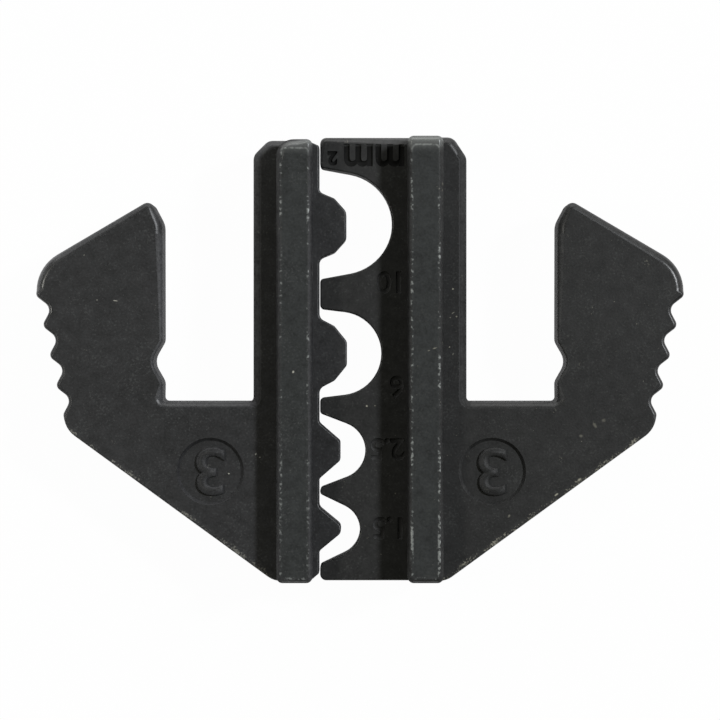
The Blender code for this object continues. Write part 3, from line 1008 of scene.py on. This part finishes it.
@dataclass
class Studio:
    """A pale floor, soft light and the camera of the photograph.

    Attributes:
        floor_size: Side of the floor.
        floor_drop: How far the floor lies under the ribs.
        face_level: Level of the tongues' front faces, at which the photograph's scale holds.
        distance: From the camera to that level.
        span: Width of the photograph at that level: 720 pixels, at 13.5 to the millimetre.
        aim: Point of that level at the photograph's middle.
        sensor: Width of the camera's sensor, in millimetres.
        near: Distance from which the camera sees things.
        card: Colour of the floor's card.
        white: Colour of the background.
        sky: Colour of the light from all round.
        sky_level: Its brightness, where one would be white.
        floor_glow: How much of the floor's look is plain white, which leaves the rest to its shadow.
        lamps: The key lamp, and the boxes that fill its shadows and light the rounded edges.
    """

    floor_size: float = 3.0
    floor_drop: float = 0.01 * MM
    face_level: float = 9.0 * MM
    distance: float = 333.0 * MM
    span: float = 720 / 13.5 * MM
    aim: Pair = (0.0, -0.074 * MM)
    sensor: float = 36.0
    near: float = 0.01
    card: str = "#e8e8e8"
    white: str = "#ffffff"
    sky: str = "#f6fac4"
    sky_level: float = 0.04
    floor_glow: float = 0.98
    lamps: tuple[Lamp, ...] = (KEY_LAMP, LEFT_BOX, TOP_BOX, LEFT_STRIP, RIGHT_STRIP)

    def build(self) -> None:
        """Makes the floor, the lights and the camera."""
        self._floor()
        self._world()
        for lamp in self.lamps:
            lamp.build()
        self._camera()

    def _floor(self) -> None:
        """Lays the floor, which looks nearly white and keeps a faint shadow."""
        bpy.ops.object.select_all(action="DESELECT")
        bpy.ops.mesh.primitive_plane_add(size=self.floor_size, location=(0.0, 0.0, -self.floor_drop))
        floor = bpy.context.object
        floor.name = "floor"
        floor.data.materials.append(self._floor_material())

    def _floor_material(self) -> bpy.types.Material:
        """Makes white matte card, which the camera and reflections see as if lit from behind.

        Returns:
            The material, which gives the eye a white ground with only a breath of the dies' shadow.
        """
        material = bpy.data.materials.new("white matte card")
        material.use_nodes = True
        tree = material.node_tree
        tree.nodes.clear()
        card = add_node(tree, "ShaderNodeBsdfDiffuse", {}, {"Color": linear(self.card)})
        glow = add_node(tree, "ShaderNodeEmission", {}, {"Color": linear(self.white), "Strength": 1.0})
        seen = 0.0
        for kind in ("Is Camera Ray", "Is Glossy Ray", "Is Transmission Ray"):
            ray = add_node(tree, "ShaderNodeLightPath", {}, {}, output=kind)
            seen = add_node(tree, MATH, "MAXIMUM", {0: seen, 1: ray})
        share = add_node(tree, MATH, "MULTIPLY", {0: seen, 1: self.floor_glow})
        surface = add_node(tree, "ShaderNodeMixShader", {}, {0: share, 1: card, 2: glow})
        add_node(tree, "ShaderNodeOutputMaterial", {}, {"Surface": surface})
        return material

    def _world(self) -> None:
        """Surrounds the set with faint light, which only the camera sees as white.

        Reflections see the faint light. Plain white in them would make the flat faces twice as bright.
        """
        world = bpy.data.worlds.new("studio")
        bpy.context.scene.world = world
        world.use_nodes = True
        tree = world.node_tree
        tree.nodes.clear()
        camera = add_node(tree, "ShaderNodeLightPath", {}, {}, output="Is Camera Ray")
        soft = add_node(
            tree, "ShaderNodeBackground", {}, {"Color": linear(self.sky), "Strength": self.sky_level}
        )
        seen = add_node(tree, "ShaderNodeBackground", {}, {"Color": linear(self.white), "Strength": 1.0})
        light = add_node(tree, "ShaderNodeMixShader", {}, {0: camera, 1: soft, 2: seen})
        add_node(tree, "ShaderNodeOutputWorld", {}, {"Surface": light})

    def _camera(self) -> None:
        """Looks straight down from the photograph's distance."""
        data = bpy.data.cameras.new("camera")
        data.sensor_width = self.sensor
        data.lens = data.sensor_width * self.distance / self.span
        data.clip_start = self.near
        camera = bpy.data.objects.new("camera", data)
        bpy.context.scene.collection.objects.link(camera)
        camera.location = (*self.aim, self.face_level + self.distance)
        bpy.context.scene.camera = camera


@dataclass
class DiePair:
    """The two dies and what they share.

    Attributes:
        blade_face: Level of the crimp blades' front faces.
        tongue_face: Level of the tongues' front faces.
        figure_height: Height of the struck figures.
        struck_depth: Depth of the struck figures.
        unit_depth: Depth of the unit mark, which is struck deeper.
        recess_depth: Depth of the round recesses.
        recess_figure: Height of the figure that stands in each recess.
        rail_top: Upper end of the nest die's rail in Y.
        indenter_set_back: How much lower the indenter die's rail ends.
        rib_drop: How much lower a rib ends than its rail.
    """

    blade_face: float = 8.1 * MM
    tongue_face: float = 9.0 * MM
    figure_height: float = 1.5 * MM
    struck_depth: float = 0.11 * MM
    unit_depth: float = 0.2 * MM
    recess_depth: float = 0.35 * MM
    recess_figure: float = 3.4 * MM
    rail_top: float = 16.44 * MM
    indenter_set_back: float = 0.25 * MM
    rib_drop: float = 0.03 * MM

    def build(self) -> list[bpy.types.Object]:
        """Builds both dies and returns the dressed pieces."""
        return [self._nest_die().build(), self._indenter_die().build()]

    def _struck(self, text: str, x: float, y: float, **changes: float) -> Figure:
        """A size mark struck into the crimp blade, with its middle at X and Y in millimetres."""
        fields = {"height": self.figure_height, "depth": self.struck_depth, **changes}
        return Figure(text, (x * MM, y * MM), face=self.blade_face, **fields)

    def _raised(self, x: float, y: float) -> Figure:
        """The figure that stands in a die's round recess.

        Args:
            x: Its middle across the pair, in millimetres.
            y: Its middle along the rails, in millimetres.

        Returns:
            The figure.
        """
        return Figure(
            "3", (x * MM, y * MM), self.recess_figure, self.tongue_face, self.recess_depth,
            relief=Relief.RAISED, slope=0.16 * MM, weight=0.11 * MM, width=1.08,
        )

    def _nicks(self, face: float, rows: tuple[tuple[float, ...], ...]) -> tuple[Nick, ...]:
        """The larger nicks in one face.

        Args:
            face: The face's level.
            rows: X, Y, length and width of each in millimetres, its turn in degrees, and how pale it is.

        Returns:
            The nicks.
        """
        return tuple(
            Nick((x * MM, y * MM, face), (length / 2 * MM, width / 2 * MM), turn, share)
            for x, y, length, width, turn, share in rows
        )

    def _nest_die(self) -> Die:
        """The right die, with the four nests and their size marks.

        Returns:
            The die, ready to build.
        """
        rib = Rib(self.rail_top - self.rib_drop, 0.4 * MM)
        dents = self._nicks(self.tongue_face, (
            (6.89, 5.19, 0.22, 0.18, 0.0, 1.0),
            (6.89, 3.41, 0.42, 0.12, 35.0, 0.7),
            (7.15, 3.15, 0.20, 0.16, 0.0, 0.7),
            (6.70, 3.07, 0.16, 0.12, 0.0, 0.6),
            (8.39, -10.07, 0.30, 0.20, -30.0, 1.0),
            (17.40, -4.90, 0.80, 0.40, 120.0, 0.25),
            (18.05, -4.55, 0.60, 0.40, 20.0, 0.2),
            (16.37, -5.70, 0.50, 0.36, 0.0, 0.25),
            (11.04, -11.63, 0.40, 0.26, 60.0, 0.4),
            (14.55, -10.05, 0.45, 0.24, 36.0, 0.9),
            (16.25, -8.95, 0.60, 0.28, 36.0, 0.8),
            (6.63, 0.89, 0.20, 0.16, 0.0, 1.0),
            (6.89, 0.37, 0.30, 0.12, 60.0, 0.6),
        )) + self._nicks(self.blade_face, (
            (0.50, -3.49, 0.28, 0.22, 0.0, 1.0),
            (1.11, -3.47, 0.20, 0.14, 0.0, 0.5),
        )) + self._nicks(rib.span, (
            (5.50, 0.80, 0.50, 0.16, 20.0, 0.5),
            (5.05, 0.62, 0.30, 0.14, 10.0, 0.4),
        ))
        # Gives the eye a nearly black matte crust with a broken bright line along the rib.
        steel = PhosphatedSteel(
            "black phosphated steel, rubbed", coat="#222222", steel="#c4c7c4", speck="#343534",
            nick="#a3a091", wear=0.75, seed=0.0, dents=dents,
        )
        figures = (
            self._struck("mm", 1.05, 15.12, width=0.93, depth=self.unit_depth),
            self._struck("2", -2.05, 14.9, height=0.9 * MM, depth=self.unit_depth),
            self._struck("10", 2.15, 5.7),
            self._struck("6", 2.75, -2.07),
            self._struck("2.5", 2.05, -6.7),
            self._struck("1.5", 2.05, -12.55),
            self._raised(9.8, -8.33),
        )
        return Die("nest_die", "nest_steel", steel, rib, figures)

    def _indenter_die(self) -> Die:
        """The left die, with the four indenters.

        Returns:
            The die, ready to build.
        """
        rib = Rib(self.rail_top - self.indenter_set_back - self.rib_drop, 0.3 * MM)
        dents = self._nicks(self.tongue_face, (
            (-18.12, 4.32, 0.56, 0.14, -8.0, 1.0),
            (-19.48, 4.37, 0.18, 0.16, 0.0, 0.6),
            (-20.44, 7.70, 0.18, 0.14, 0.0, 0.5),
            (-7.72, -7.05, 0.34, 0.16, 60.0, 0.8),
            (-7.42, -7.28, 0.24, 0.16, 0.0, 0.6),
        )) + self._nicks(rib.span, (
            (-4.90, -0.95, 0.30, 0.24, 70.0, 1.0),
        ))
        # Gives the eye the same crust, a little paler, with less bright metal and a glossier nose.
        steel = PhosphatedSteel(
            "black phosphated steel, less rubbed", coat="#29292a", steel="#b0b3b1", speck="#3c3d3d",
            nick="#a8a69c", wear=0.45, seed=0.31, dents=dents, nose_gloss=0.9, band_wear=0.4,
        )
        return Die("indenter_die", "indenter_steel", steel, rib, (self._raised(-11.1, -8.33),))


def main() -> None:
    """Builds the dressed dies and the studio, and reports each."""
    logging.basicConfig(level=logging.INFO, format="%(message)s")
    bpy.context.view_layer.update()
    for piece in DiePair().build():
        log.info("%s: %d faces", piece.name, len(piece.data.polygons))
    Studio().build()
    log.info("studio: floor, world, lights and camera")
    bpy.context.scene.view_settings.view_transform = "Standard"


if __name__ == "__main__":
    main()
